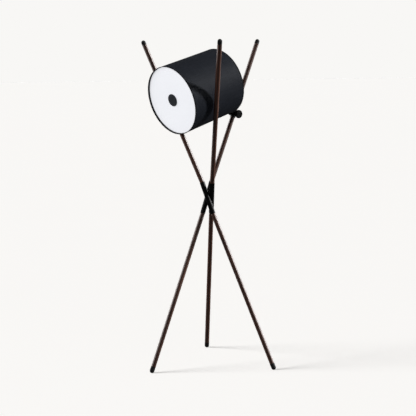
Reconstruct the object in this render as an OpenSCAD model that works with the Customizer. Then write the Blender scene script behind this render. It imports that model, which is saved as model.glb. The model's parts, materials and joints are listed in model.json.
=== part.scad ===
// Tripod floor lamp: three straight rods lean past each other at mid height, and a
// drum shade lying on its side is clamped to one of them. Rods, feet and caps carry
// the letters a, b and c in order round the stand. Millimetres, +Z up, floor at Z = 0.

/* [Stand] */
// Height of the tallest rod cap above the floor
stand_height = 1700; // [1650:10:1750]
// Distance of each foot from the centre line
foot_radius = 363; // [340:1:390]
// Distance of each rod top from the centre line
top_radius = 352; // [340:1:370]
// Rod diameter
rod_d = 24; // [22:0.5:24]
// Turn of a foot round the centre line, from its rod's place
foot_turn = 93.3; // [91:0.1:96]
// Turn of a rod top round the centre line, from its rod's place
top_turn = -79.65; // [-82:0.05:-78]

/* [Crossing joint] */
// Height of the sleeves' lower ends
sleeve_low_z = 800; // [780:1:810]
// Height of the sleeves' upper ends
sleeve_high_z = 962; // [950:1:980]
// Distance of the sleeves' lower ends from the centre line
sleeve_low_radius = 33.9; // [33.5:0.1:36]
// Distance of the sleeves' upper ends from the centre line
sleeve_high_radius = 33.6; // [33.2:0.1:36]
// Turn of a sleeve's lower end round the centre line
sleeve_low_turn = 69; // [66:0.5:70]
// Turn of a sleeve's upper end round the centre line
sleeve_high_turn = -56.7; // [-58:0.1:-54]
// Sleeve diameter
sleeve_d = 26; // [25:0.1:26]
// Diameter of the peg on each rod end
peg_d = 14; // [12:0.5:15]
// Length of the peg on each rod end
peg_length = 34; // [28:1:36]
// Diameter of the welded core inside the crossing
core_d = 26; // [22:1:28]

/* [Feet and caps] */
// Outer diameter of a rubber foot
foot_d = 24.4; // [24:0.1:26]
// Height of a foot's round end above the floor, at its centre
foot_lift = 11; // [10:0.5:11.5]
// Length of a rubber foot up its rod
foot_length = 22; // [16:1:40]
// Outer diameter of a rod cap
cap_d = 23.6; // [23.4:0.1:25]
// Length of a rod cap down its rod
cap_length = 14; // [10:1:30]

/* [Clamp] */
// Distance of the tilt axis up rod c from its sleeve
clamp_up = 381.5; // [375:0.5:400]
// Length of the clamp collar along the rod
collar_length = 40; // [36:1:50]
// Outer diameter of the clamp collar
collar_d = 29; // [28.5:0.5:30]
// Diameter of the two side bosses
boss_d = 22; // [20:0.5:24]
// Distance from the rod's axis to the face of a side boss
boss_reach = 18; // [17.5:0.1:20]
// Diameter of the spigots that the tilt arms turn on
spigot_d = 16; // [14:0.5:18]
// Diameter of the stud and the pivot screw
stud_d = 8; // [6:0.5:9]
// Diameter of the knob
knob_d = 44; // [38:1:50]
// Thickness of the knob's rim
knob_thickness = 12; // [9:0.5:15]
// Number of shallow flutes round the knob
knob_flutes = 18; // [12:1:30]

/* [Head position] */
// Turn of the drum's axis from +X
head_turn = 41.2; // [40:0.02:42]
// Droop of the drum's front below level
head_droop = 15.14; // [14:0.02:17]
// Rise from the tilt axis to the drum's axis, square to the drum's axis
head_rise = 193.1; // [190:0.1:200]
// Reach from the tilt axis forward to the drum's rear edge
head_reach = 47.7; // [46:0.1:56]

/* [Shade] */
// Length of the drum
drum_length = 345; // [320:1:350]
// Outer radius of the drum at its rear edge
rear_radius = 173.2; // [168:0.1:174]
// Outer radius of the drum at its front edge
front_radius = 178.2; // [174:0.1:179]
// Thickness of the fabric laminate
fabric_t = 1; // [0.6:0.1:1.4]
// Thickness of the white lining
lining_t = 0.7; // [0.5:0.1:1]
// Width of the edge bindings
binding_w = 7; // [5:0.5:12]
// Wire diameter of the two shade rings
ring_wire = 5; // [4:0.5:6]
// Thickness of the opal diffuser
diffuser_t = 3; // [2:0.5:4]
// Depth of the diffuser's face behind the front edge
diffuser_recess = 10.4; // [8:0.2:14]
// Radius of the diffuser
diffuser_radius = 174; // [170:0.5:174.5]
// Diameter of the finial
finial_d = 64.8; // [50:0.2:80]

/* [Back plate and tilt arms] */
// Thickness of the back plate
plate_t = 1.5; // [1:0.1:2.5]
// Depth of the back plate's rolled edge
plate_edge = 12; // [8:1:16]
// Number of vent slots in each ring
vent_count = 24; // [12:2:30]
// Width of a vent slot
vent_w = 3; // [2:0.1:3.5]
// Thickness of a tilt arm
arm_t = 5; // [4:0.5:6]
// Radius of a tilt arm's eye
eye_radius = 12; // [11:0.5:14]
// Thickness of the bridge between the arms
bridge_t = 6; // [6:0.5:8]
// Height of the bridge on the back plate
bridge_height = 46; // [40:1:60]

/* [Lampholder and bulb] */
// Outer diameter of the lampholder
holder_d = 40; // [38:0.5:44]
// Length of the lampholder
holder_length = 56; // [50:1:64]
// Diameter of the bulb
bulb_d = 60; // [55:1:66]
// Length of the bulb in front of the lampholder
bulb_length = 92; // [85:1:110]
// Spread of the harp's two legs
harp_width = 92; // [84:1:110]
// Wire diameter of the harp
harp_wire_d = 4.5; // [4:0.5:6]

/* [Hidden] */
$fn = 64;
RODS = ["a", "b", "c"];

// Clearances, and how far a cut runs past what it cuts
play = 0.05;
gap = 0.3;
rest_gap = 0.1;
over = 1;

// Colours
WALNUT = "#3a241e";
BLACK = "#141416";
RUBBER = "#1b1b1d";
FABRIC = "#2a2c31";
OPAL = "#f0f1f4";
STEEL = "#9a9a9e";
BRASS = "#b08d4a";
NYLON = "#dcdcd8";
CHARCOAL = "#2b2d31";

// Vectors and frames
function unit(v) = v / norm(v);
function polar(r, a, z) = [r * cos(a), r * sin(a), z];
function columns(x, y, z, o) = [
    [x[0], y[0], z[0], o[0]],
    [x[1], y[1], z[1], o[1]],
    [x[2], y[2], z[2], o[2]],
    [0, 0, 0, 1]
];
// Frame at p with Z towards q and X level
function axis_frame(p, q) =
    let (z = unit(q - p), x = unit(cross([0, 0, 1], z))) columns(x, cross(z, x), z, p);

// Rods: place angles, and the box of all feet and caps, which the origin is centred in
rod_r = rod_d / 2;
sleeve_r = sleeve_d / 2;
foot_r = foot_d / 2;
cap_r = cap_d / 2;
tenon_r = rod_r - 2;
place = [240, 0, 120];
top_z = stand_height - cap_r;
ends = concat(
    [for (i = [0:2], s = [-1, 1]) polar(foot_radius, place[i] + foot_turn, 0) + s * foot_r * [1, 1, 0]],
    [for (i = [0:2], s = [-1, 1]) polar(top_radius, place[i] + top_turn, 0) + s * cap_r * [1, 1, 0]]
);
ends_x = [for (p = ends) p[0]];
ends_y = [for (p = ends) p[1]];
centre = [(max(ends_x) + min(ends_x)) / 2, (max(ends_y) + min(ends_y)) / 2, 0];
function foot_at(i) = polar(foot_radius, place[i] + foot_turn, foot_lift) - centre;
function sleeve_low(i) = polar(sleeve_low_radius, place[i] + sleeve_low_turn, sleeve_low_z) - centre;
function sleeve_high(i) = polar(sleeve_high_radius, place[i] + sleeve_high_turn, sleeve_high_z) - centre;
function top_at(i) = polar(top_radius, place[i] + top_turn, top_z) - centre;
core_at = [0, 0, (sleeve_low_z + sleeve_high_z) / 2] - centre;
grub_d = 5;
grub_setback = 18;
grub_sink = 1;
hex_key_r = 1.4;
hex_key_depth = 3;
rod_short = 3;
sleeve_trim = 4;

// Clamp and head frames: X is the tilt axis, towards the knob
rod_dir = unit(top_at(2) - sleeve_high(2));
pivot = sleeve_high(2) + clamp_up * rod_dir;
front_dir = -[cos(head_droop) * cos(head_turn), cos(head_droop) * sin(head_turn), sin(head_droop)];
tilt_axis = unit(cross(rod_dir, front_dir));
head_up = cross(front_dir, tilt_axis);
clamp_frame = columns(tilt_axis, cross(rod_dir, tilt_axis), rod_dir, pivot);
arm_frame = columns(tilt_axis, head_up, front_dir, pivot);
head_frame = columns(tilt_axis, head_up, front_dir, pivot + head_rise * head_up + head_reach * front_dir);

// Clamp stack along the tilt axis
liner_wall = 0.8;
liner_play = 0.06;
liner_r = rod_r + liner_wall;
spigot_length = arm_t - 0.5;
eye_in = boss_reach + gap;
eye_out = eye_in + arm_t;
washer_t = 1.6;
washer_out = eye_out + gap + washer_t;
washer_rim = 2;
washer_play = 0.2;
pad_t = 2.2;
screw_start = 1;
screw_head_t = 5;
screw_key_r = 3.4;
screw_key_depth = 3;
knob_in = washer_out + rest_gap;
knob_hub = 8.3;
knob_hub_wall = 12;
knob_cover = 4;
knob_out = knob_hub + knob_thickness;
flute_r = 2.6;
flute_offset = 1.6;

// Drum wall
function outer_at(z) = rear_radius + (front_radius - rear_radius) * z / drum_length;
function lining_out_at(z) = outer_at(z) - fabric_t - rest_gap;
function lining_in_at(z) = lining_out_at(z) - lining_t;
diffuser_front = drum_length - diffuser_recess;
diffuser_back = diffuser_front - diffuser_t;
front_ring_z = diffuser_back - ring_wire / 2 - rest_gap;
rear_ring_z = 9;
plate_z = 4;
plate_gap = 1.2;
plate_r = lining_in_at(plate_z) - ring_wire - plate_gap;
bridge_low = 150;
stud_r = 3;

// Tilt arm outline: the tangent from a point to a circle round the eye
function tangent(p, r, side) =
    let (a = atan2(p[1], p[0]) + side * acos(r / norm(p))) [r * cos(a), r * sin(a)];

module on(frame) { multmatrix(frame) children(); }
module lower_axis(i) { on(axis_frame(sleeve_low(i), foot_at(i))) children(); }
module upper_axis(i) { on(axis_frame(sleeve_high(i), top_at(i))) children(); }
// A cylinder from z0 to z1
module rod(r, z0, z1) { translate([0, 0, z0]) cylinder(r = r, h = z1 - z0); }
// The same along +X
module bar(r, x0, x1) { rotate([0, 90, 0]) rod(r, x0, x1); }
module tube(r_out, r_in, z0, z1) {
    difference() {
        rod(r_out, z0, z1);
        rod(r_in, z0 - 1, z1 + 1);
    }
}
module wire_ring(r, wire, z) {
    translate([0, 0, z]) rotate_extrude($fn = 96) translate([r, 0]) circle(d = wire, $fn = 24);
}

// ---- stand ----
module lower_rod(i) {
    length = norm(foot_at(i) - sleeve_low(i));
    color(WALNUT) lower_axis(i) {
        union() {
            rod(rod_r, 0, length - foot_length);
            rod(tenon_r, length - foot_length - over, length - rod_short);
            rod(peg_d / 2, -peg_length, over);
        }
    }
}

module upper_rod(i) {
    length = norm(top_at(i) - sleeve_high(i));
    color(WALNUT) upper_axis(i) {
        union() {
            rod(rod_r, 0, length - cap_length);
            rod(tenon_r, length - cap_length - over, length);
            rod(peg_d / 2, -peg_length, over);
        }
    }
}

// A sleeve's end: cut square to the rod, with a socket for its peg and a tapped hole
module sleeve_end() {
    rod(sleeve_d, 0, sleeve_d);
    rod(peg_d / 2 + play, -peg_length - over, over);
    translate([0, 0, -grub_setback]) bar(grub_d / 2 + play, 0, sleeve_d);
}

module crossing_sleeve(i) {
    length = norm(sleeve_high(i) - sleeve_low(i));
    color(BLACK) difference() {
        on(axis_frame(sleeve_low(i), sleeve_high(i))) rod(sleeve_r, -sleeve_trim, length + sleeve_trim);
        lower_axis(i) sleeve_end();
        upper_axis(i) sleeve_end();
    }
}

module joint_core() {
    color(BLACK) translate(core_at) sphere(d = core_d);
}

module grub_screw() {
    translate([0, 0, -grub_setback]) difference() {
        bar(grub_d / 2, peg_d / 2 + play, sleeve_r - grub_sink);
        rotate([0, 90, 0]) translate([0, 0, sleeve_r - hex_key_depth])
            cylinder(r = hex_key_r, h = hex_key_depth, $fn = 6);
    }
}

module grub_screws() {
    color(STEEL) for (i = [0:2]) {
        lower_axis(i) grub_screw();
        upper_axis(i) grub_screw();
    }
}

module foot(i) {
    length = norm(foot_at(i) - sleeve_low(i));
    color(RUBBER) difference() {
        lower_axis(i) union() {
            rod(foot_r, length - foot_length, length);
            translate([0, 0, length]) sphere(r = foot_r);
        }
        lower_axis(i) rod(tenon_r + play, length - foot_length - over, length - rod_short);
        translate(foot_at(i) - [0, 0, foot_lift + foot_d]) rod(foot_d, 0, foot_d);
    }
}

module top_cap(i) {
    length = norm(top_at(i) - sleeve_high(i));
    color(RUBBER) upper_axis(i) difference() {
        union() {
            rod(cap_r, length - cap_length, length);
            translate([0, 0, length]) sphere(r = cap_r);
        }
        rod(tenon_r + play, length - cap_length - over, length);
    }
}

// ---- clamp on rod c ----
module clamp_collar() {
    color(BLACK) on(clamp_frame) difference() {
        union() {
            rod(collar_d / 2, -collar_length / 2, collar_length / 2);
            bar(boss_d / 2, -boss_reach, boss_reach);
            bar(spigot_d / 2, -boss_reach - spigot_length, boss_reach + spigot_length);
        }
        rod(liner_r + play, -collar_length, collar_length);
        bar(stud_d / 2 + play, -boss_reach - arm_t, boss_reach + arm_t);
    }
}

module clamp_liner() {
    color(NYLON) on(clamp_frame) difference() {
        tube(liner_r, rod_r + liner_play, -collar_length / 2, collar_length / 2);
        bar(stud_d / 2 + play, 0, boss_reach);
    }
}

module rod_pad() {
    color(BRASS) on(clamp_frame) bar(stud_d / 2 - rest_gap, rod_r + play, rod_r + pad_t);
}

module pivot_screw() {
    head = washer_out + rest_gap;
    color(STEEL) on(clamp_frame) mirror([1, 0, 0]) difference() {
        union() {
            bar(stud_d / 2, liner_r + screw_start, head + over);
            bar(spigot_d / 2 - 1, head, head + screw_head_t);
        }
        rotate([0, 90, 0]) translate([0, 0, head + screw_head_t - screw_key_depth])
            cylinder(r = screw_key_r, h = screw_key_depth + over, $fn = 6);
    }
}

module friction_washers() {
    color(STEEL) on(clamp_frame) for (s = [0, 1]) {
        mirror([s, 0, 0]) rotate([0, 90, 0])
            tube(eye_radius - washer_rim, stud_d / 2 + washer_play, eye_out + gap, washer_out);
    }
}

module knob_grip() {
    color(BLACK) on(clamp_frame) rotate([0, 90, 0]) translate([0, 0, knob_in]) difference() {
        union() {
            rod(stud_d / 2 + knob_hub_wall, 0, knob_hub + over);
            rod(knob_d / 2, knob_hub, knob_out);
        }
        rod(stud_d / 2 + play, -over, knob_out - knob_cover);
        for (k = [0:knob_flutes - 1]) {
            rotate([0, 0, 360 / knob_flutes * k])
                translate([knob_d / 2 + flute_offset, 0, 0])
                rod(flute_r, knob_hub - over, knob_out + over);
        }
    }
}

module knob_stud() {
    color(STEEL) on(clamp_frame)
        bar(stud_d / 2, rod_r + pad_t + rest_gap, knob_in + knob_out - knob_cover);
}

// ---- tilt arms, from the clamp to the back plate ----
arm_foot = [head_rise - bridge_low, head_reach + plate_z];
arm_top = arm_foot + [bridge_height, 0];
bridge_z = arm_foot[1] - bridge_t;
arm_screw_edge = 10;
arm_screw_r = 1.45;
arm_screw_length = 8;
arm_screw_head_r = 2.8;
arm_screw_head_t = 2;
bridge_screw_edge = 12;
bridge_screw_in = 11;
bridge_screw_r = 2;
bridge_screw_head_r = 3.6;
bridge_screw_head_t = 2.2;
nut_r = 4;
nut_t = 3;
nut_tail = 1;
hole_play = 0.1;

module tilt_arm() {
    outline = [tangent(arm_foot, eye_radius, 1), arm_foot, arm_top, tangent(arm_top, eye_radius, -1)];
    difference() {
        rotate([90, 0, 90]) union() {
            linear_extrude(arm_t) polygon(concat([[0, 0]], outline));
            cylinder(r = eye_radius, h = arm_t);
        }
        bar(spigot_d / 2 + play, -over, arm_t + over);
        arm_screw_places() bar(arm_screw_r + hole_play, -over, arm_t + over);
    }
}

module arm_screw_places() {
    for (y = [arm_foot[0] + arm_screw_edge, arm_top[0] - arm_screw_edge]) {
        translate([0, y, bridge_z + bridge_t / 2]) children();
    }
}

module tilt_arm_right() { color(BLACK) on(arm_frame) translate([eye_in, 0, 0]) tilt_arm(); }
module tilt_arm_left() { color(BLACK) on(arm_frame) translate([-eye_out, 0, 0]) tilt_arm(); }

module bridge_screw_places() {
    for (s = [-1, 1], y = [bridge_screw_edge, bridge_height - bridge_screw_edge]) {
        translate([s * (eye_in - bridge_screw_in), arm_foot[0] + y, 0]) children();
    }
}

module arm_bridge() {
    color(BLACK) on(arm_frame) difference() {
        translate([-eye_in, arm_foot[0], bridge_z]) cube([2 * eye_in, bridge_height, bridge_t]);
        bridge_screw_places()
            rod(bridge_screw_r + hole_play, bridge_z - over, bridge_z + bridge_t + over);
        for (s = [0, 1]) {
            mirror([s, 0, 0]) arm_screw_places()
                bar(arm_screw_r + play, eye_in - arm_screw_length - 1, eye_in + over);
        }
    }
}

// Four screws through the arms into the bridge's edges
module arm_screws() {
    color(STEEL) on(arm_frame) for (s = [0, 1]) {
        mirror([s, 0, 0]) arm_screw_places() union() {
            bar(arm_screw_r, eye_in - arm_screw_length, eye_out + over);
            bar(arm_screw_head_r, eye_out, eye_out + arm_screw_head_t);
        }
    }
}

// Four screws through the bridge and the back plate, with nuts inside
module bridge_screws() {
    inside = bridge_z + bridge_t + plate_t;
    color(STEEL) on(arm_frame) bridge_screw_places() union() {
        rod(bridge_screw_r, bridge_z - over, inside + nut_t + nut_tail);
        rod(bridge_screw_head_r, bridge_z - bridge_screw_head_t, bridge_z);
        translate([0, 0, inside]) cylinder(r = nut_r, h = nut_t, $fn = 6);
    }
}

// ---- head ----
gland_at = [64, -108];
gland_bore = 3.7;
gland_tail = 14;
gland_thread_r = 8;
gland_cap_r = 9;
gland_hex_r = 12;
gland_hex_t = 6;
gland_nut_t = 5;
plate_in = plate_z + plate_t;
gland_inner = plate_in + 8;
vent_rings = [[38, 60], [70, 94]];
nipple_r = 5;

module vents(ring) {
    for (k = [0:vent_count - 1]) {
        rotate([0, 0, 360 / vent_count * (k + 0.5)])
            translate([ring[0], -vent_w / 2, plate_z - over])
            cube([ring[1] - ring[0], vent_w, plate_t + 2 * over]);
    }
}

module back_plate() {
    color(BLACK) on(head_frame) difference() {
        union() {
            rod(plate_r, plate_z, plate_in);
            tube(plate_r, plate_r - plate_t, plate_z, plate_z + plate_edge);
        }
        for (ring = vent_rings) vents(ring);
        rod(nipple_r + hole_play, plate_z - over, plate_in + over);
        translate(gland_at) rod(gland_thread_r + hole_play, plate_z - over, plate_in + over);
        translate([0, -head_rise, -head_reach]) bridge_screw_places()
            rod(bridge_screw_r + hole_play, 0, 2 * head_reach);
    }
}

rear_ring_r = lining_in_at(rear_ring_z) - ring_wire / 2 - rest_gap;
front_ring_r = lining_in_at(front_ring_z) - ring_wire / 2 - rest_gap;
module rear_ring() { color(STEEL) on(head_frame) wire_ring(rear_ring_r, ring_wire, rear_ring_z); }
module front_ring() { color(STEEL) on(head_frame) wire_ring(front_ring_r, ring_wire, front_ring_z); }

// Saddles that hold the rear ring on the back plate's edge
clip_count = 6;
clip_angle = 5;
module plate_clips() {
    color(STEEL) on(head_frame) for (k = [0:clip_count - 1]) {
        rotate([0, 0, 360 / clip_count * k]) difference() {
            rotate_extrude(angle = clip_angle, $fn = 96) translate([plate_r + play, plate_z + 1])
                square([rear_ring_r - plate_r, plate_edge - 2]);
            wire_ring(rear_ring_r, ring_wire + rest_gap, rear_ring_z);
        }
    }
}

// A wall between the drum's two edges, from its outer line inwards
module cone_wall(r_rear, r_front, t) {
    rotate_extrude($fn = 96) polygon([
        [r_rear - t, 0], [r_rear, 0], [r_front, drum_length], [r_front - t, drum_length]
    ]);
}

module shade_drum() {
    color(FABRIC) on(head_frame) cone_wall(outer_at(0), outer_at(drum_length), fabric_t);
}

module shade_lining() {
    color(OPAL) on(head_frame)
        cone_wall(lining_out_at(0), lining_out_at(drum_length), lining_t);
}

// Binding folded over an edge of the wall: edge is where it lies, inward is +1 or -1 along Z,
// and turn_in how far it reaches inside
binding_t = 0.4;
front_turn_in = diffuser_recess - 0.4;
module binding(edge, inward, turn_in) {
    t = binding_t;
    tip = edge + inward * binding_w;
    deep = edge + inward * turn_in;
    fold = edge - inward * t;
    slack = edge - inward * play;
    rotate_extrude($fn = 96) polygon([
        [outer_at(tip) + t, tip], [outer_at(edge) + t, fold],
        [lining_in_at(edge) - t, fold], [lining_in_at(deep) - t, deep],
        [lining_in_at(deep) - play, deep], [lining_in_at(edge) - play, slack],
        [outer_at(edge) + play, slack], [outer_at(tip) + play, tip]
    ]);
}

module rear_binding() { color(FABRIC) on(head_frame) binding(0, 1, binding_w); }
module front_binding() { color(FABRIC) on(head_frame) binding(drum_length, -1, front_turn_in); }

stud_clear = 0.4;
module diffuser() {
    color(OPAL) on(head_frame)
        tube(diffuser_radius, stud_r + stud_clear, diffuser_back, diffuser_front);
}

// Cord inlet: a threaded body through the plate, its round end outside
module cable_gland() {
    color(BLACK) on(head_frame) translate(gland_at) difference() {
        union() {
            rod(gland_thread_r, plate_z - over, gland_inner);
            rotate([0, 0, 30]) translate([0, 0, plate_z - gland_hex_t])
                cylinder(r = gland_hex_r, h = gland_hex_t, $fn = 6);
            rod(gland_cap_r, plate_z - gland_tail, plate_z - gland_hex_t + over);
        }
        rod(gland_bore, plate_z - gland_tail - over, gland_inner + over);
    }
}

module gland_nut() {
    color(BLACK) on(head_frame) translate(gland_at) difference() {
        translate([0, 0, plate_in]) cylinder(r = gland_hex_r, h = gland_nut_t, $fn = 6);
        rod(gland_thread_r + play, 0, plate_in + gland_nut_t + over);
    }
}

block_at = [60, -64, plate_in];
block_size = [30, 20, 18];
block_pitch = [9, 10];
block_floor = 4;
block_hole_r = 2;
lead_level = plate_in + 8;
holder_lead_r = 2.4;
module terminal_block() {
    color(OPAL) on(head_frame) translate(block_at) difference() {
        translate([-block_size[0] / 2, -block_size[1] / 2, 0]) cube(block_size);
        for (i = [-1:1], j = [-0.5, 0.5]) {
            translate([i * block_pitch[0], j * block_pitch[1], 0])
                rod(block_hole_r, block_floor, block_size[2] + over);
        }
    }
}

// A right-angle bend of a round lead, from the start angle about the bend's centre
module lead_bend(r, bend_r, start) {
    rotate([0, 0, start]) rotate_extrude(angle = 90, $fn = 96)
        translate([bend_r, 0]) circle(r = r, $fn = 24);
}

// From the inlet up and over to the terminal block
module inlet_lead() {
    lead_r = 3;
    bend_r = 6;
    low = gland_inner + rest_gap;
    reach = block_at[1] - block_size[1] / 2 - rest_gap - gland_at[1] - bend_r;
    union() {
        translate([gland_at[0], gland_at[1] + bend_r, low]) rotate([90, 0, 90])
            lead_bend(lead_r, bend_r, 90);
        translate([gland_at[0], gland_at[1] + bend_r, low + bend_r]) rotate([-90, 0, 0])
            rod(lead_r, 0, reach);
    }
}

// From the terminal block sideways and up into the lampholder's cup
module holder_lead() {
    lead_r = holder_lead_r;
    bend_r = 12;
    run_y = block_at[1];
    translate([0, 0, lead_level]) union() {
        translate([0, run_y, 0]) bar(lead_r, bend_r, block_at[0] - block_size[0] / 2 - rest_gap);
        translate([bend_r, run_y + bend_r, 0]) lead_bend(lead_r, bend_r, 180);
        rotate([-90, 0, 0]) rod(lead_r, run_y + bend_r, -holder_d / 2 + 2);
    }
}

module inner_lead() {
    color(NYLON) on(head_frame) {
        inlet_lead();
        holder_lead();
    }
}

// Lampholder: a cup on the plate, a threaded shell and its ring
holder_r = holder_d / 2;
holder_wall = 2.5;
saddle_t = 1.5;
cup_z = plate_in + saddle_t + rest_gap;
cup_h = 22;
cup_floor = 3;
shell_z = cup_z + cup_h + rest_gap;
mouth_z = cup_z + holder_length;
mouth_r = 13.7;
ring_low = 14;
ring_high = 6;
ring_wall = 4;
ring_play = 0.2;
lead_play = 0.2;

module holder_cup() {
    color(BLACK) on(head_frame) difference() {
        rod(holder_r, cup_z, cup_z + cup_h);
        rod(holder_r - holder_wall, cup_z + cup_floor, cup_z + cup_h + over);
        rod(nipple_r + hole_play, cup_z - over, cup_z + cup_floor + over);
        rotate([0, 0, -90]) translate([0, 0, lead_level])
            bar(holder_lead_r + lead_play, holder_r / 2, holder_r + over);
    }
}

module holder_shell() {
    color(BLACK) on(head_frame) tube(holder_r, mouth_r, shell_z, mouth_z);
}

module holder_ring() {
    color(BLACK) on(head_frame)
        tube(holder_r + ring_wall, holder_r + ring_play, mouth_z - ring_low, mouth_z - ring_high);
}

// Hollow screw that holds the cup and the saddle on the plate, with its nut behind
nipple_tail = 6;
nipple_head = 8;
nipple_bore = 3.5;
lock_nut_r = 8;
lock_nut_t = 4;
module holder_nut() {
    color(STEEL) on(head_frame) difference() {
        union() {
            rod(nipple_r, plate_z - nipple_tail, cup_z + nipple_head);
            translate([0, 0, plate_z - lock_nut_t]) cylinder(r = lock_nut_r, h = lock_nut_t, $fn = 6);
            translate([0, 0, cup_z + cup_floor]) cylinder(r = lock_nut_r, h = lock_nut_t, $fn = 6);
        }
        rod(nipple_bore, plate_z - nipple_tail - over, cup_z + nipple_head + over);
    }
}

bulb_cap_r = 13.2;
bulb_cap_length = 24;
bulb_tip_r = 6;
bulb_tip_h = 4;
module bulb_cap() {
    low = mouth_z - bulb_cap_length;
    color(STEEL) on(head_frame) union() {
        rod(bulb_cap_r, low, mouth_z + over);
        translate([0, 0, low - bulb_tip_h]) cylinder(r1 = bulb_tip_r, r2 = bulb_cap_r, h = bulb_tip_h);
    }
}

// Globe on a neck that widens to meet it below its middle
globe_z = mouth_z + bulb_length - bulb_d / 2;
bulb_neck_r = 14.5;
globe_join = 25;
module bulb_globe() {
    neck_z = mouth_z + over + rest_gap;
    waist_z = globe_z - bulb_d / 2 * sin(globe_join);
    color(OPAL) on(head_frame) union() {
        translate([0, 0, globe_z]) sphere(d = bulb_d);
        translate([0, 0, neck_z])
            cylinder(r1 = bulb_neck_r, r2 = bulb_d / 2 * cos(globe_join), h = waist_z - neck_z);
    }
}

// Harp: a wire bow over the bulb that carries the stud for the diffuser
harp_r = harp_width / 2;
harp_clear = 16;
harp_top = diffuser_back - harp_clear;
bend_z = harp_top - harp_r;
saddle_w = 12;
module harp_saddle() {
    reach = harp_r + saddle_w / 2;
    color(STEEL) on(head_frame) difference() {
        translate([-reach, -saddle_w / 2, plate_in]) cube([2 * reach, saddle_w, saddle_t]);
        rod(nipple_r + hole_play, plate_in - over, plate_in + saddle_t + over);
    }
}

module harp_wire() {
    wire_r = harp_wire_d / 2;
    color(STEEL) on(head_frame) union() {
        for (s = [-1, 1]) translate([s * harp_r, 0, 0]) rod(wire_r, plate_in + saddle_t, bend_z);
        translate([0, 0, bend_z]) rotate([90, 0, 0]) rotate_extrude(angle = 180, $fn = 96)
            translate([harp_r, 0]) circle(r = wire_r, $fn = 24);
    }
}

// Stud on the harp: a boss, a seat behind the diffuser and a threaded end
stud_boss_r = 6;
stud_seat_r = 9;
stud_seat_t = 2;
stud_end = 2.6;
module finial_stud() {
    color(STEEL) on(head_frame) difference() {
        union() {
            rod(stud_boss_r, harp_top - stud_boss_r, diffuser_back - 1);
            rod(stud_seat_r, diffuser_back - stud_seat_t, diffuser_back - rest_gap);
            rod(stud_r, diffuser_back - stud_seat_t, diffuser_front + stud_end);
        }
        translate([0, 0, bend_z]) rotate([90, 0, 0]) wire_ring(harp_r, harp_wire_d + rest_gap, 0);
    }
}

finial_t = 4;
finial_rim = 3.2;
finial_dish = 0.5;
module finial() {
    back = diffuser_front + rest_gap;
    face = back + finial_t;
    color(CHARCOAL) on(head_frame) difference() {
        rod(finial_d / 2, back, face);
        rod(finial_d / 2 - finial_rim, face - finial_dish, face + over);
        rod(stud_r + play, back - over, diffuser_front + stud_end + 2 * rest_gap);
    }
}

for (i = [0:2]) {
    lower_rod(i);
    upper_rod(i);
    crossing_sleeve(i);
    foot(i);
    top_cap(i);
}
joint_core();
grub_screws();
clamp_collar();
clamp_liner();
rod_pad();
pivot_screw();
friction_washers();
knob_grip();
knob_stud();
tilt_arm_right();
tilt_arm_left();
arm_bridge();
arm_screws();
bridge_screws();
back_plate();
rear_ring();
plate_clips();
shade_drum();
shade_lining();
rear_binding();
front_binding();
front_ring();
diffuser();
cable_gland();
gland_nut();
terminal_block();
inner_lead();
holder_cup();
holder_shell();
holder_ring();
holder_nut();
bulb_cap();
bulb_globe();
harp_saddle();
harp_wire();
finial_stud();
finial();
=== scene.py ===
"""Looks of the tripod floor lamp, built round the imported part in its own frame, in metres."""

import json
import math

import bpy
import numpy as np
from mathutils import Matrix

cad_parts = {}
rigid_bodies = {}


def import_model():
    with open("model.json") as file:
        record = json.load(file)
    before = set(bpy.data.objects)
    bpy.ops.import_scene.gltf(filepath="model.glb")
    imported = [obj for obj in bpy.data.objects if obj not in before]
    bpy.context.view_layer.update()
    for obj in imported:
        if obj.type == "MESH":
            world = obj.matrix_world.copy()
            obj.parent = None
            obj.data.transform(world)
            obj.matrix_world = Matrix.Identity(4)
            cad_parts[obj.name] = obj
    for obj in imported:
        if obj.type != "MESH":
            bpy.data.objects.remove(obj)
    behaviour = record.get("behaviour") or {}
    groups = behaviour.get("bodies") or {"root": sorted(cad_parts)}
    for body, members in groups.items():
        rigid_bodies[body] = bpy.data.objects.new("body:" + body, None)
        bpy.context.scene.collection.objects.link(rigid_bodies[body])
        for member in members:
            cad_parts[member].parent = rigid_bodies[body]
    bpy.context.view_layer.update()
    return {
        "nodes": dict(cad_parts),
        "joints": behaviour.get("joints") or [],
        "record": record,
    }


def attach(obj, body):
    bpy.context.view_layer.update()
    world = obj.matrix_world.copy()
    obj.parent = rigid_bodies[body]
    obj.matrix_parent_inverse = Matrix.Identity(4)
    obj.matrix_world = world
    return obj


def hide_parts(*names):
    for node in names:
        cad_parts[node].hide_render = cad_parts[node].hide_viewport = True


MM = 0.001
PLAY = 0.05
ROD_R = 12.0
TENON_R = 10.0
SLEEVE_R = 13.0
SLEEVE_WALL = 2.0
PEG = 34.0
FOOT_R = 12.2
FOOT_LENGTH = 22.0
ROD_SHORT = 3.0
CAP_R = 11.8
CAP_LENGTH = 14.0
DRUM_LENGTH = 345.0
REAR_R = 173.2
FRONT_R = 178.2
BINDING = 7.0
FRONT_TURN_IN = 10.0
FABRIC_T = 1.0
LINING_T = 0.7
LAYER_GAP = 0.1
WALL_T = FABRIC_T + LAYER_GAP + LINING_T
RING_WIRE = 5.0
RING_SET_IN = RING_WIRE / 2 + 0.1
REAR_RING_Z = 9.0
DIFFUSER_R = 174.0
DIFFUSER_FACE = 334.6
DIFFUSER_T = 3.0
FINIAL_R = 32.4
KNOB_R = 22.0
KNOB_FLUTES = 18
KNOB_BACK = 25.3
KNOB_HUB = 8.3
HUB_R = 16.0
KNOB_RIM = 12.0
COLLAR_R = 14.5
COLLAR_BORE = ROD_R + 0.85
COLLAR_HALF = 20.0
BOSS_R = 11.0
BOSS_START = 13.2
BOSS_REACH = 18.0
SPIGOT_R = 8.0
SPIGOT_REACH = BOSS_REACH + 4.5

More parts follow.
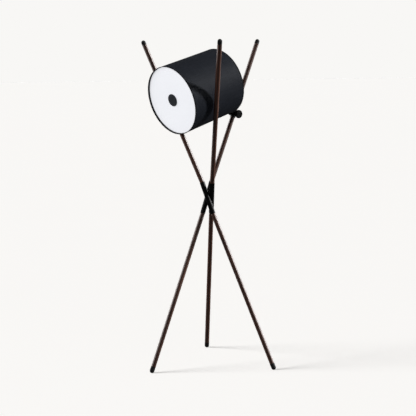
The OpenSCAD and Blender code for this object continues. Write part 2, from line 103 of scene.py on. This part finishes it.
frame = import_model()
nodes = frame["nodes"]
joints = {joint["name"]: joint for joint in frame["joints"]}


# ---- materials ----
class Value:
    """An output of a node that takes part in sums like a number."""

    def __init__(self, paint, socket):
        self.paint = paint
        self.socket = socket

    def math(self, operation, *terms):
        return self.paint.add("ShaderNodeMath", {"operation": operation}, dict(enumerate(terms)))

    def __add__(self, other):
        return self.math("ADD", self, other)

    def __sub__(self, other):
        return self.math("SUBTRACT", self, other)

    def __rsub__(self, other):
        return self.math("SUBTRACT", other, self)

    def __mul__(self, other):
        return self.math("MULTIPLY", self, other)

    def sine(self):
        return self.math("SINE", self)

    def size(self):
        return self.math("ABSOLUTE", self)


class Paint:
    """One material in the making: nodes are added by type, settings and sockets."""

    def __init__(self, name):
        self.material = bpy.data.materials.new(name)
        self.material.use_nodes = True
        self.tree = self.material.node_tree
        self.tree.nodes.clear()

    def add(self, kind, settings=None, sockets=None, out=0):
        node = self.tree.nodes.new(kind)
        for key, value in (settings or {}).items():
            setattr(node, key, value)
        for key, value in (sockets or {}).items():
            if isinstance(value, Value):
                self.tree.links.new(value.socket, node.inputs[key])
            else:
                node.inputs[key].default_value = value
        return Value(self, node.outputs[out]) if node.outputs else None

    def noise(self, where, scale, detail=3.0, roughness=0.5):
        sockets = {"Vector": where, "Scale": scale, "Detail": detail, "Roughness": roughness}
        return self.add("ShaderNodeTexNoise", {}, sockets)

    def spread(self, value, low, high, out_low=0.0, out_high=1.0):
        sockets = {0: value, 1: low, 2: high, 3: out_low, 4: out_high}
        return self.add("ShaderNodeMapRange", {"clamp": True}, sockets)

    def stretch(self, where, scale):
        return self.add("ShaderNodeVectorMath", {"operation": "MULTIPLY"}, {0: where, 1: scale})

    def mix(self, share, first, second):
        sockets = {0: share, 6: first, 7: second}
        return self.add("ShaderNodeMix", {"data_type": "RGBA"}, sockets, 2)

    def bump(self, height, distance, strength=1.0):
        sockets = {"Height": height, "Distance": distance, "Strength": strength}
        return self.add("ShaderNodeBump", {}, sockets)

    def own(self, name):
        """A vector that the piece's points carry."""
        return self.add("ShaderNodeAttribute", {"attribute_name": name}, {}, 1)

    def local(self):
        """Places in the object's own coordinates."""
        return self.add("ShaderNodeTexCoord", {}, {}, 3)

    def finish(self, sockets):
        shader = self.add("ShaderNodeBsdfPrincipled", {}, sockets)
        self.add("ShaderNodeOutputMaterial", {}, {0: shader})
        return self.material


def rgb(red, green, blue):
    return (red, green, blue, 1.0)


def walnut():
    """Dark stained wood: long grain streaks along the rod, fine pores, thin satin lacquer."""
    paint = Paint("walnut")
    where = paint.own("place")
    streaks = paint.noise(paint.stretch(where, (1.0, 1.0, 0.03)), 330.0, 3.0, 0.5)
    bands = paint.noise(paint.stretch(where, (1.0, 1.0, 0.012)), 120.0, 2.0)
    pores = paint.noise(paint.stretch(where, (1.0, 1.0, 0.015)), 1500.0, 2.0)
    tone = paint.spread(streaks * 0.6 + bands * 0.4, 0.36, 0.64)
    base = paint.mix(tone, rgb(0.0300, 0.0095, 0.0045), rgb(0.1350, 0.0500, 0.0270))
    dark = paint.spread(pores, 0.60, 0.72)
    base = paint.mix(dark * 0.6, base, rgb(0.008, 0.004, 0.003))
    rough = paint.spread(streaks, 0.3, 0.7, 0.32, 0.44)
    normal = paint.bump(streaks * 0.6 - dark * 0.6, 0.00004)
    return paint.finish(
        {
            "Base Color": base,
            "Roughness": rough,
            "Normal": normal,
            "Specular IOR Level": 0.6,
            "Coat Weight": 0.2,
            "Coat Roughness": 0.3,
        }
    )


def mottled(name, dark, light, rough, grain, depth, mirror=0.35):
    """A moulded or painted surface: faint mottling of tone and gloss with a fine orange-peel bump."""
    paint = Paint(name)
    where = paint.local()
    cloud = paint.noise(where, 28.0, 3.0)
    fine = paint.noise(where, grain, 2.0, 0.55)
    tone = paint.spread(cloud * 0.55 + fine * 0.45, 0.36, 0.64)
    sockets = {
        "Base Color": paint.mix(tone, dark, light),
        "Roughness": paint.spread(cloud * 0.5 + fine * 0.5, 0.35, 0.65, rough[0], rough[1]),
        "Normal": paint.bump(fine, depth),
        "Specular IOR Level": mirror,
    }
    return paint.finish(sockets)


def brushed(name, dark, light, rough):
    """Turned or drawn metal with fine parallel marks."""
    paint = Paint(name)
    where = paint.local()
    lines = paint.noise(paint.stretch(where, (1.0, 1.0, 9.0)), 420.0, 3.0)
    cloud = paint.noise(where, 60.0, 2.0)
    tone = paint.spread(lines, 0.35, 0.65)
    sockets = {
        "Base Color": paint.mix(tone, dark, light),
        "Roughness": paint.spread(cloud, 0.3, 0.7, rough[0], rough[1]),
        "Normal": paint.bump(lines, 0.00002),
        "Metallic": 1.0,
    }
    return paint.finish(sockets)


def woven(name, dark, light, pitch, slub, rough):
    """Plain weave: each thread's height is a half wave that dives under the crossing thread."""
    paint = Paint(name)
    cloth = paint.own("cloth")
    across = paint.add("ShaderNodeSeparateXYZ", {}, {0: cloth})
    along = Value(paint, across.socket.node.outputs[1])
    wander = paint.noise(paint.stretch(cloth, (0.25, 1.0, 1.0)), 90.0, 2.0) * 0.9
    warp = across * (math.pi / pitch) + wander
    weft = along * (math.pi / pitch) + wander
    over = warp.sine() * weft.sine() * 0.5 + 0.5
    height = over * weft.sine().size() + (1 - over) * warp.sine().size()
    thick_warp = paint.noise(paint.stretch(cloth, (1.0, 0.02, 1.0)), 1.0 / (pitch * 3), 1.0)
    thick_weft = paint.noise(paint.stretch(cloth, (0.02, 1.0, 1.0)), 1.0 / (pitch * 3), 1.0)
    slubs = paint.spread(thick_warp * 0.5 + thick_weft * 0.5, 0.38, 0.62)
    # Colour follows the thread height: the dips where a thread dives under the crossing thread are painted
    # shade, darker than the crests, and the slubs add the cloth's real uneven tone
    tone = height * (1 - slub) + slubs * slub
    sockets = {
        "Base Color": paint.mix(tone, dark, light),
        "Roughness": paint.spread(tone, 0.0, 1.0, rough[0], rough[1]),
        "Normal": paint.bump(height * 0.6 + slubs * 0.8, pitch * 0.35, 0.7),
        "Specular IOR Level": 0.065,
    }
    return paint.finish(sockets)


def opal():
    """Satin opal acrylic, faintly uneven, softly lit through."""
    paint = Paint("opal")
    where = paint.local()
    cloud = paint.noise(where, 9.0, 2.0)
    fine = paint.noise(where, 900.0, 2.0)
    base = paint.mix(cloud, rgb(0.80, 0.81, 0.84), rgb(0.84, 0.85, 0.88))
    glow = paint.mix(cloud, rgb(0.84, 0.85, 0.89), rgb(0.87, 0.88, 0.92))
    sockets = {
        "Base Color": base,
        "Roughness": paint.spread(fine, 0.3, 0.7, 0.34, 0.46),
        "Normal": paint.bump(fine, 0.00002),
        "Emission Color": glow,
        "Emission Strength": 0.775,
    }
    return paint.finish(sockets)


MATERIALS = {
    "rod_walnut": walnut(),
    "black_steel": mottled(
        "black_steel", rgb(0.0018, 0.0018, 0.0021), rgb(0.0045, 0.0045, 0.0052),
        (0.32, 0.42), 2600.0, 0.00001, 0.15
    ),
    "gloss": mottled(
        "black_gloss", rgb(0.0018, 0.0018, 0.0021), rgb(0.0045, 0.0045, 0.0052),
        (0.16, 0.22), 2600.0, 0.00001, 0.6
    ),
    "black_plastic": mottled(
        "black_plastic", rgb(0.0016, 0.0016, 0.0018), rgb(0.0035, 0.0035, 0.0040),
        (0.40, 0.52), 3200.0, 0.00003, 0.08
    ),
    "rubber": mottled(
        "rubber", rgb(0.0050, 0.0050, 0.0054), rgb(0.0120, 0.0120, 0.0125),
        (0.55, 0.75), 2400.0, 0.00005
    ),
    "shade_fabric": woven(
        "shade_fabric", rgb(0.0085, 0.0096, 0.0128), rgb(0.0255, 0.0292, 0.0385),
        0.0007, 0.35, (0.50, 0.62)
    ),
    "shade_lining": mottled(
        "shade_lining", rgb(0.78, 0.78, 0.77), rgb(0.86, 0.86, 0.85), (0.50, 0.65), 1500.0, 0.00003
    ),
    "binding": woven(
        "binding", rgb(0.0080, 0.0085, 0.0100), rgb(0.0200, 0.0215, 0.0250), 0.0005, 0.2, (0.80, 0.92)
    ),
    "opal": opal(),
    "bulb_glass": mottled(
        "bulb_glass", rgb(0.86, 0.86, 0.84), rgb(0.90, 0.90, 0.88), (0.30, 0.42), 800.0, 0.00002
    ),
    "steel": brushed("steel", rgb(0.42, 0.42, 0.43), rgb(0.60, 0.60, 0.61), (0.24, 0.38)),
    "brass": brushed("brass", rgb(0.55, 0.40, 0.17), rgb(0.70, 0.54, 0.27), (0.26, 0.40)),
    "nylon": mottled("nylon", rgb(0.70, 0.70, 0.67), rgb(0.78, 0.78, 0.75), (0.45, 0.60), 1800.0, 0.00003),
    "charcoal": mottled(
        "charcoal", rgb(0.0580, 0.0630, 0.0740), rgb(0.0820, 0.0880, 0.1020),
        (0.34, 0.46), 2600.0, 0.00002
    ),
    "black_aluminium": mottled(
        "black_aluminium", rgb(0.0060, 0.0060, 0.0066), rgb(0.0130, 0.0130, 0.0140),
        (0.45, 0.60), 2200.0, 0.00004
    ),
}


# ---- surfaces ----
def unit(vector):
    vector = np.asarray(vector, float)
    return vector / np.linalg.norm(vector)


def axes(x, y, z, origin):
    """A frame as its three directions and its origin, in millimetres."""
    return np.array([x, y, z], float), np.asarray(origin, float)


def to_world(points, where):
    directions, origin = where
    return (points @ directions + origin) * MM


def rounded(corners, radius, steps=4, closed=False):
    """An outline with each corner eased: a parabola between two points as far from the corner as
    the radius, or nearly half of a short side."""
    corners = np.asarray(corners, float)
    count = len(corners)
    line = []
    share = np.linspace(0, 1, steps + 1)[:, None]
    for k in range(count):
        if not closed and k in (0, count - 1):
            line.append(corners[k][None])
            continue
        here, before, after = corners[k], corners[k - 1], corners[(k + 1) % count]
        back, on = before - here, after - here
        start = here + back * min(radius / np.linalg.norm(back), 0.48)
        stop = here + on * min(radius / np.linalg.norm(on), 0.48)
        line.append((1 - share) ** 2 * start + 2 * share * (1 - share) * here + share**2 * stop)
    return np.concatenate(line)


def turned(profile, segments=96):
    """Points of a profile (radius, height) turned round Z: x = r cos a, y = r sin a, z = height."""
    angle = np.linspace(0, 2 * math.pi, segments, endpoint=False)
    radius, height = profile[:, :1], profile[:, 1:]
    return np.stack(
        [radius * np.cos(angle), radius * np.sin(angle), height + 0 * angle], axis=-1
    )


def faces_of(index):
    """Quads between neighbouring rows and columns of point numbers, triangles at a pole."""
    a, b = index[:-1, :-1].ravel(), index[:-1, 1:].ravel()
    d, c = index[1:, :-1].ravel(), index[1:, 1:].ravel()
    quads = np.stack([a, b, c, d], axis=1)
    low_pole, high_pole = a == b, c == d
    whole = quads[~low_pole & ~high_pole].tolist()
    fans = quads[low_pole & ~high_pole][:, [0, 2, 3]].tolist()
    return whole + fans + quads[high_pole & ~low_pole][:, [0, 1, 2]].tolist()


def numbered(shape, start, ring, loop):
    """Point numbers of a grid; a ring repeats its first column and a loop its first row."""
    index = start + np.arange(shape[0] * shape[1]).reshape(shape[:2])
    if ring:
        index = np.concatenate([index, index[:, :1]], axis=1)
    if loop:
        index = np.concatenate([index, index[:1]], axis=0)
    return index


def piece(name, grids, where, slot, body, stands_for=(), loop=False, cloth=None, finish=None):
    """One mesh from grids of points in a frame: rows run along a profile, columns round it."""
    grids = grids if isinstance(grids, list) else [grids]
    flat, faces, start = [], [], 0
    for grid in grids:
        index = numbered(grid.shape, start, True, loop)
        for row in (0, -1):
            if not loop and np.ptp(grid[row], axis=0).max() < 1e-6:
                index[row] = index[row, 0]
        faces += faces_of(index)
        flat.append(grid.reshape(-1, 3))
        start += grid.shape[0] * grid.shape[1]
    local = np.concatenate(flat)
    used, faces = compact(faces, start)
    local = local[used]
    mesh = bpy.data.meshes.new(name)
    mesh.from_pydata(to_world(local, where).tolist(), [], faces)
    carry(mesh, "place", local * MM)
    if cloth is not None:
        carry(mesh, "cloth", cloth.reshape(-1, 3)[used] * MM)
    mesh.shade_smooth()
    mesh.materials.append(MATERIALS[finish or slot])
    made = bpy.data.objects.new(name, mesh)
    bpy.context.scene.collection.objects.link(made)
    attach(made, body)
    if stands_for:
        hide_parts(*stands_for)


def compact(faces, count):
    """The point numbers in use, and the faces in the new numbering."""
    used = np.zeros(count, bool)
    used[np.concatenate([np.asarray(face) for face in faces])] = True
    renumber = np.cumsum(used) - 1
    return used, [renumber[np.asarray(face)].tolist() for face in faces]


def carry(mesh, name, vectors):
    attribute = mesh.attributes.new(name, "FLOAT_VECTOR", "POINT")
    attribute.data.foreach_set("vector", vectors.astype(np.float32).ravel())


def axis_of(node):
    """The two ends, low and high, of a long CAD node's centre line, in millimetres."""
    points = np.array([v.co for v in nodes[node].data.vertices], float) / MM
    points = np.unique(points.round(3), axis=0)
    middle = points.mean(axis=0)
    direction = np.linalg.svd(points - middle, full_matrices=False)[2][0]
    direction = direction * np.sign(direction[2])
    reach = (points - middle) @ direction
    return middle + reach.min() * direction, middle + reach.max() * direction


def line_frame(start, stop):
    """A frame at start with Z towards stop and X level."""
    z = unit(stop - start)
    x = unit(np.cross([0.0, 0.0, 1.0], z))
    return axes(x, np.cross(z, x), z, start)


# ---- stand ----
def rod_piece(name, start, stop, tenon, stands_for):
    """A rod: a circle swept straight to a turned-down end, its edges eased, its surface wandering a
    few hundredths."""
    length = np.linalg.norm(stop - start)
    shoulder = length - tenon
    first = rounded([[0, 0], [ROD_R, 0], [ROD_R, 6]], 0.8)
    rows = 60
    body = np.stack([np.full(rows, ROD_R), np.linspace(12, shoulder - 12, rows)], axis=1)
    last = rounded(
        [[ROD_R, shoulder - 6], [ROD_R, shoulder], [TENON_R, shoulder], [TENON_R, length], [0, length]], 0.5
    )
    profile = np.concatenate([first, body, last])
    points = turned(profile, 48)
    angle = np.arctan2(points[..., 1], points[..., 0])
    wander = 0.03 * np.sin(points[..., 2] / 61 + 2 * angle) * (points[..., 2] > 5)
    points[..., :2] *= 1 - (wander / ROD_R)[..., None]
    piece(name, points, line_frame(start, stop), "rod_walnut", "stand", [stands_for])


def sleeve_piece(letter, low, high, foot, top):
    """A straight tube from low to high whose ends are planes square to the two rods."""
    where = line_frame(low, high)
    length = np.linalg.norm(high - low)
    inner, outer = SLEEVE_R - SLEEVE_WALL, SLEEVE_R
    profile = rounded([[inner, 0.0], [outer, 0.0], [outer, 1.0], [inner, 1.0]], 0.7, 4, True)
    profile[:, 1] = np.where(profile[:, 1] > 0.5, length - (1 - profile[:, 1]), profile[:, 1])
    points = turned(profile, 96)
    directions = where[0]
    tilt_low = directions @ unit(low - foot)
    tilt_high = directions @ unit(top - high)
    level = points[..., 2] / length
    lean_low = -(points[..., 0] * tilt_low[0] + points[..., 1] * tilt_low[1]) / tilt_low[2]
    lean_high = -(points[..., 0] * tilt_high[0] + points[..., 1] * tilt_high[1]) / tilt_high[2]
    points[..., 2] += np.where(level < 0.5, lean_low, lean_high)
    name = "sleeve_" + letter
    piece(name, points, where, "black_steel", "stand", ["crossing_sleeve_" + letter], loop=True)


def foot_piece(letter, start, stop):
    """A rubber foot: a rolled lip, a straight sleeve and a round end, flat where it stands."""
    length = np.linalg.norm(stop - start) + ROD_SHORT
    top = length - FOOT_LENGTH
    side = rounded(
        [[TENON_R + PLAY, top + 4], [TENON_R + PLAY, top], [FOOT_R + 0.5, top], [FOOT_R + 0.5, top + 2.5],
         [FOOT_R, top + 4], [FOOT_R, length]], 0.6
    )
    angle = np.linspace(0, math.pi / 2, 17)[1:]
    ball = np.stack([FOOT_R * np.cos(angle), length + FOOT_R * np.sin(angle)], axis=1)
    ball[-1, 0] = 0
    points = turned(np.concatenate([side, ball]), 72)
    where = line_frame(start, stop)
    world = points @ where[0] + where[1]
    world[..., 2] = np.maximum(world[..., 2], 0.0)
    points = (world - where[1]) @ where[0].T
    piece("foot_cup_" + letter, points, where, "rubber", "stand", ["foot_" + letter])


def cap_piece(letter, start, stop):
    """A rod cap: a small lip, a straight skirt and a round end."""
    length = np.linalg.norm(stop - start)
    low = length - CAP_LENGTH
    side = rounded(
        [[TENON_R + PLAY, low + 3], [TENON_R + PLAY, low], [CAP_R + 0.3, low], [CAP_R + 0.3, low + 1.6],
         [CAP_R, low + 2.6], [CAP_R, length]], 0.4
    )
    angle = np.linspace(0, math.pi / 2, 17)[1:]
    ball = np.stack([CAP_R * np.cos(angle), length + CAP_R * np.sin(angle)], axis=1)
    ball[-1, 0] = 0
    points = turned(np.concatenate([side, ball]), 72)
    piece("rod_cap_" + letter, points, line_frame(start, stop), "rubber", "stand", ["top_cap_" + letter])


def stand():
    for letter in "abc":
        foot, low = axis_of("lower_rod_" + letter)
        low = low - PEG * unit(low - foot)
        high, top = axis_of("upper_rod_" + letter)
        high = high + PEG * unit(top - high)
        rod_piece("rod_lower_" + letter, low, foot, FOOT_LENGTH - ROD_SHORT, "lower_rod_" + letter)
        rod_piece("rod_upper_" + letter, high, top, CAP_LENGTH, "upper_rod_" + letter)
        sleeve_piece(letter, low, high, foot, top)
        foot_piece(letter, low, foot)
        cap_piece(letter, high, top)


# ---- clamp and head ----
def joint_vector(name, key="axis", scale=1.0):
    return np.array(joints[name][key], float) * scale


ROD_DIR = unit(joint_vector("height_slide"))
TILT = unit(joint_vector("head_tilt"))
FRONT = unit(joint_vector("finial_turn"))
PIVOT = joint_vector("head_tilt", "pos_m", 1 / MM)
FRONT_CENTRE = joint_vector("finial_turn", "pos_m", 1 / MM)


def rear_centre():
    """The drum's centre at its rear edge."""
    points = np.array([v.co for v in nodes["shade_drum"].data.vertices], float) / MM
    return FRONT_CENTRE + FRONT * ((points - FRONT_CENTRE) @ FRONT).min()


HEAD = axes(TILT, np.cross(FRONT, TILT), FRONT, rear_centre())
# Clamp pieces that turn on the tilt axis: Z runs along the axis towards the knob
AXLE = axes(np.cross(TILT, ROD_DIR), -ROD_DIR, TILT, PIVOT)
COLLAR = axes(TILT, np.cross(ROD_DIR, TILT), ROD_DIR, PIVOT)


def wall_at(height):
    return REAR_R + (FRONT_R - REAR_R) * height / DRUM_LENGTH


def closed_side(rear_r, front_r, thickness, drop=0.0):
    """A wall section from rear to front on the outside and back on the inside."""
    rows = np.linspace(drop, DRUM_LENGTH - drop, 40)
    outer = np.stack([np.interp(rows, [0, DRUM_LENGTH], [rear_r, front_r]), rows], axis=1)
    inner = outer[::-1] - [thickness, 0]
    return np.concatenate([outer, inner])


def drum():
    """The fabric wall: a cone with a lapped seam, and waves of a few tenths between its rings."""
    profile = closed_side(REAR_R, FRONT_R, FABRIC_T)
    segments = 480
    points = turned(profile, segments)
    angle = np.linspace(0, 2 * math.pi, segments, endpoint=False)
    height = profile[:, 1:]
    swell = np.sin(math.pi * height / DRUM_LENGTH)
    waves = 0.10 * np.sin(7 * angle + 1.3) + 0.08 * np.sin(11 * angle + height / 55)
    seam_at, seam_half = math.radians(204), 7.0 / REAR_R
    off = (angle - seam_at) / seam_half
    seam = 0.45 * np.clip(4 * (1 - np.abs(off)), 0, 1)
    outside = (np.arange(len(profile)) < len(profile) // 2)[:, None]
    change = (swell * (waves - 0.18) + seam) * outside
    scale = 1 + change / profile[:, :1]
    points[..., :2] *= scale[..., None]
    cloth = np.stack([np.broadcast_to(angle * REAR_R, scale.shape), height + 0 * angle, 0 * scale], axis=-1)
    piece("drum_fabric", points, HEAD, "shade_fabric", "head", ["shade_drum"], loop=True, cloth=cloth)


def lining():
    """The white wall inside the fabric."""
    outside = FABRIC_T + LAYER_GAP
    profile = closed_side(REAR_R - outside, FRONT_R - outside, LINING_T)
    points = turned(profile, 192)
    piece("drum_lining", points, HEAD, "shade_lining", "head", ["shade_lining"], loop=True)


def binding(name, edge, inward, turn_in, node):
    """Tape folded over an edge: a thin folded strip, plumper at the fold, with a rippled border."""
    tip = edge + inward * BINDING
    outer_tip, outer_edge = wall_at(tip), wall_at(edge)
    t = 0.4
    lip = edge - inward * t
    deep = edge + inward * turn_in
    outer_deep = wall_at(deep)
    corners = [
        [outer_tip + t * 0.6, tip], [outer_edge + t, edge + inward * 1.5], [outer_edge + t, lip],
        [outer_edge - WALL_T - t, lip], [outer_edge - WALL_T - t, edge + inward * 1.5],
        [outer_deep - WALL_T - t * 0.6, deep], [outer_deep - WALL_T - PLAY, deep],
        [outer_edge - WALL_T - PLAY, edge], [outer_edge + PLAY, edge], [outer_tip + PLAY, tip],
    ]
    profile = rounded(corners, 0.35, 3, True)
    if inward > 0:
        profile = profile[::-1]
    segments = 360
    points = turned(profile, segments)
    angle = np.linspace(0, 2 * math.pi, segments, endpoint=False)
    far = np.abs(profile[:, 1:] - edge) / BINDING
    points[..., 2] += 0.18 * far * (np.sin(23 * angle) + np.sin(41 * angle + 1)) * 0.5
    cloth = np.stack(
        [np.broadcast_to(angle * FRONT_R, points.shape[:2]), profile[:, 1:] + 0 * angle, points[..., 2] * 0],
        axis=-1,
    )
    piece(name, points, HEAD, "binding", "head", [node], loop=True, cloth=cloth)


def ring_piece(name, node, radius, height):
    """A wire ring: a small circle turned round the drum's axis."""
    angle = np.linspace(0, 2 * math.pi, 20, endpoint=False)
    profile = np.stack(
        [radius + RING_WIRE / 2 * np.cos(angle), height + RING_WIRE / 2 * np.sin(angle)], axis=1
    )
    piece(name, turned(profile, 160), HEAD, "steel", "head", [node], loop=True)


def diffuser():
    """The opal disc: flat, with eased edges and a small hole for the stud."""
    back, front = DIFFUSER_FACE - DIFFUSER_T, DIFFUSER_FACE
    corners = [[3.4, back], [DIFFUSER_R, back], [DIFFUSER_R, front], [3.4, front]]
    piece("opal_disc", turned(rounded(corners, 0.8, 4, True), 240), HEAD, "opal", "head", ["diffuser"],
          loop=True)


def finial():
    """The round screw cap: a flat disc with an eased rim and a narrow groove inside it."""
    back, face = DIFFUSER_FACE + 0.1, DIFFUSER_FACE + 4.1
    corners = [
        [0, back], [FINIAL_R - 0.6, back], [FINIAL_R, back + 0.8], [FINIAL_R, face - 0.9],
        [FINIAL_R - 1.0, face], [FINIAL_R - 3.0, face], [FINIAL_R - 3.4, face - 0.6],
        [FINIAL_R - 5.2, face - 0.6], [FINIAL_R - 5.6, face - 0.35], [0, face - 0.2],
    ]
    piece("finial_disc", turned(rounded(corners, 0.5, 3), 128), HEAD, "charcoal", "finial", ["finial"])


def knob():
    """The clamp knob: a disc whose rim dips in shallow flutes that fade out over its rounded edges."""
    rim = KNOB_HUB + KNOB_RIM
    corners = [
        [0, 0], [HUB_R, 0], [HUB_R, KNOB_HUB], [KNOB_R - 1.2, KNOB_HUB], [KNOB_R, KNOB_HUB + 1.4],
        [KNOB_R, rim - 2.0], [KNOB_R - 2.4, rim], [15.5, rim], [14.8, rim - 0.8], [13.2, rim - 0.8],
        [12.5, rim], [0, rim + 0.3],
    ]
    profile = rounded(corners, 0.9, 4)
    segments = KNOB_FLUTES * 16
    points = turned(profile, segments)
    angle = np.linspace(0, 2 * math.pi, segments, endpoint=False)
    flute = np.clip(np.cos(KNOB_FLUTES * angle), 0, 1) ** 1.5 * 1.0
    share = np.clip((profile[:, :1] - 19) / 5, 0, 1)
    scale = 1 - share * flute / np.maximum(profile[:, :1], 1)
    points[..., :2] *= scale[..., None]
    points[..., 2] += KNOB_BACK
    piece("knob", points, AXLE, "black_plastic", "knob", ["knob_grip"])


def collar():
    """The clamp's collar on the rod: a short tube with two side bosses, all with eased edges."""
    low, high = -COLLAR_HALF, COLLAR_HALF
    tube = [[COLLAR_BORE, low], [COLLAR_R, low], [COLLAR_R, high], [COLLAR_BORE, high]]
    ring = turned(rounded(tube, 1.0, 5, True), 96)
    grids = []
    for side in (-1, 1):
        corners = [
            [0, BOSS_START], [BOSS_R, BOSS_START], [BOSS_R, BOSS_REACH], [SPIGOT_R, BOSS_REACH],
            [SPIGOT_R, SPIGOT_REACH], [0, SPIGOT_REACH],
        ]
        boss = turned(rounded(corners, 0.8, 4), 72)
        # The boss's Z is the collar's X; the other side is the same boss turned half round
        grids.append(np.stack([side * boss[..., 2], boss[..., 1], -side * boss[..., 0]], axis=-1))
    piece(
        "collar_tube", ring, COLLAR, "black_steel", "clamp", ["clamp_collar"], loop=True, finish="gloss"
    )
    piece("collar_bosses", grids, COLLAR, "black_steel", "clamp", finish="gloss")


def head():
    drum()
    lining()
    binding("binding_rear", 0.0, 1, BINDING, "rear_binding")
    binding("binding_front", DRUM_LENGTH, -1, FRONT_TURN_IN, "front_binding")
    for end, height in (("rear", REAR_RING_Z), ("front", DIFFUSER_FACE - DIFFUSER_T - RING_SET_IN)):
        ring_piece("ring_" + end, end + "_ring", wall_at(height) - WALL_T - RING_SET_IN, height)
    diffuser()
    finial()
    knob()
    collar()


# ---- CAD nodes that are shown as they are ----
EASED = {
    "tilt_arm_right", "tilt_arm_left", "arm_bridge", "cable_gland", "gland_nut", "back_plate",
    "friction_washers", "holder_cup", "holder_shell", "terminal_block",
}


def plain_nodes():
    slots = {part["node"]: part["material_slot"] for part in frame["record"]["subparts"]}
    for name, node in nodes.items():
        if node.hide_render:
            continue
        node.data.materials.clear()
        node.data.materials.append(MATERIALS[slots[name]])
        if name in EASED:
            weld = node.modifiers.new("weld", "WELD")
            weld.merge_threshold = 0.00001
            bevel = node.modifiers.new("bevel", "BEVEL")
            bevel.width = 0.0004
            bevel.segments = 2
            bevel.limit_method = "ANGLE"
            bevel.angle_limit = math.radians(35)


# ---- stage ----
def floor():
    """A wide pale floor that gives back the light it gets and a little of its own."""
    paint = Paint("floor")
    where = paint.local()
    cloud = paint.noise(where, 0.7, 2.0)
    base = paint.mix(cloud, rgb(0.790, 0.783, 0.768), rgb(0.800, 0.793, 0.778))
    glow = paint.mix(cloud, rgb(0.500, 0.491, 0.480), rgb(0.504, 0.495, 0.484))
    material = paint.finish(
        {"Base Color": base, "Roughness": 0.9, "Specular IOR Level": 0.0, "Emission Color": glow,
         "Emission Strength": 1.0}
    )
    mesh = bpy.data.meshes.new("floor")
    reach = 60.0
    corners = [(-reach, -reach, 0), (reach, -reach, 0), (reach, reach, 0), (-reach, reach, 0)]
    mesh.from_pydata(corners, [], [(0, 1, 2, 3)])
    mesh.materials.append(material)
    made = bpy.data.objects.new("floor", mesh)
    made.visible_glossy = False
    made.visible_diffuse = False
    bpy.context.scene.collection.objects.link(made)
    return made


def falls_on(lamps, things, state):
    """The lamps' light falls only on the things, or on everything else."""
    group = bpy.data.collections.new("lit_" + lamps[0].name)
    for thing in things:
        group.objects.link(thing)
    for entry in group.collection_objects:
        entry.light_linking.link_state = state
    for lamp in lamps:
        lamp.light_linking.receiver_collection = group


def backdrop():
    """A far dome of the floor's own brightness, which gives the lamp no light."""
    paint = Paint("backdrop")
    cloud = paint.noise(paint.local(), 0.02, 1.0)
    glow = paint.mix(cloud, rgb(0.937, 0.928, 0.911), rgb(0.941, 0.932, 0.915))
    material = paint.finish(
        {"Base Color": rgb(0, 0, 0), "Roughness": 1.0, "Specular IOR Level": 0.0,
         "Emission Color": glow, "Emission Strength": 1.0}
    )
    angle = np.linspace(-math.pi / 2, math.pi / 2, 33)
    profile = np.stack([90.0 * np.cos(angle), 90.0 * np.sin(angle)], axis=1)
    profile[[0, -1], 0] = 0
    points = turned(profile, 64)
    index = numbered(points.shape, 0, True, False)
    mesh = bpy.data.meshes.new("backdrop")
    mesh.from_pydata(points.reshape(-1, 3).tolist(), [], faces_of(index))
    mesh.materials.append(material)
    made = bpy.data.objects.new("backdrop", mesh)
    made.visible_diffuse = False
    made.visible_glossy = False
    made.visible_shadow = False
    bpy.context.scene.collection.objects.link(made)


def light(name, kind, energy, direction, **settings):
    """A lamp that shines against the direction given."""
    data = bpy.data.lights.new(name, kind)
    data.energy = energy
    for key, value in settings.items():
        setattr(data, key, value)
    made = bpy.data.objects.new(name, data)
    x, y, z = unit(direction)
    side = unit(np.cross([0, 0, 1], [x, y, z]))
    up = np.cross([x, y, z], side)
    turn = Matrix(np.array([side, up, [x, y, z]]).T.tolist()).to_4x4()
    made.matrix_world = Matrix.Translation((3 * x, 3 * y, 1 + 3 * z)) @ turn
    bpy.context.scene.collection.objects.link(made)
    return made


# Pieces whose edges catch the two side lights
POLISHED = ("rod_lower", "rod_upper", "collar_tube")


def stage():
    ground = floor()
    backdrop()
    polished = [thing for thing in bpy.data.objects if thing.name.startswith(POLISHED)]
    world = bpy.data.worlds.new("studio")
    bpy.context.scene.world = world
    world.use_nodes = True
    sky = world.node_tree.nodes["Background"]
    sky.inputs[0].default_value = rgb(0.95, 0.97, 1.0)
    sky.inputs[1].default_value = 0.08
    lamps = [
        light("key", "SUN", 3.0, (0.88, 0.03, 0.46), angle=math.radians(7)),
        light("side", "SUN", 0.6, (-0.85, -0.35, 0.40), angle=math.radians(40)),
        light("rim_left", "SUN", 1.2, (-0.75, 0.62, 0.25), angle=math.radians(40)),
        light("rim_right", "SUN", 1.9, (0.72, 0.62, 0.30), angle=math.radians(40)),
        light("strip", "SUN", 0.08, (0.651, -0.736, 0.195), angle=math.radians(12)),
    ]
    falls_on(lamps, [ground], "EXCLUDE")
    edges = [
        light("edge_left", "SUN", 1.6, (-0.95, 0.28, 0.10), angle=math.radians(40)),
        light("edge_right", "SUN", 1.2, (0.95, 0.28, 0.10), angle=math.radians(40)),
    ]
    falls_on(edges, polished, "INCLUDE")
    foot_light = light("foot_light", "SUN", 3.0, (-0.857, -0.08, 0.50), angle=math.radians(28))
    falls_on([foot_light], [ground], "INCLUDE")
    bpy.context.scene.view_settings.view_transform = "Standard"


CAMERA_AT = (-0.00147, -6.73158, 1.65855)
CAMERA_PITCH = 82.949
CAMERA_ROLL = -0.7287


def camera():
    data = bpy.data.cameras.new("camera")
    data.sensor_width = 36
    data.lens = 112.24
    data.clip_end = 200
    made = bpy.data.objects.new("camera", data)
    pitch = Matrix.Rotation(math.radians(CAMERA_PITCH), 4, "X")
    roll = Matrix.Rotation(math.radians(CAMERA_ROLL), 4, "Z")
    made.matrix_world = Matrix.Translation(CAMERA_AT) @ pitch @ roll
    bpy.context.scene.collection.objects.link(made)
    bpy.context.scene.camera = made


stand()
head()
plain_nodes()
stage()
camera()
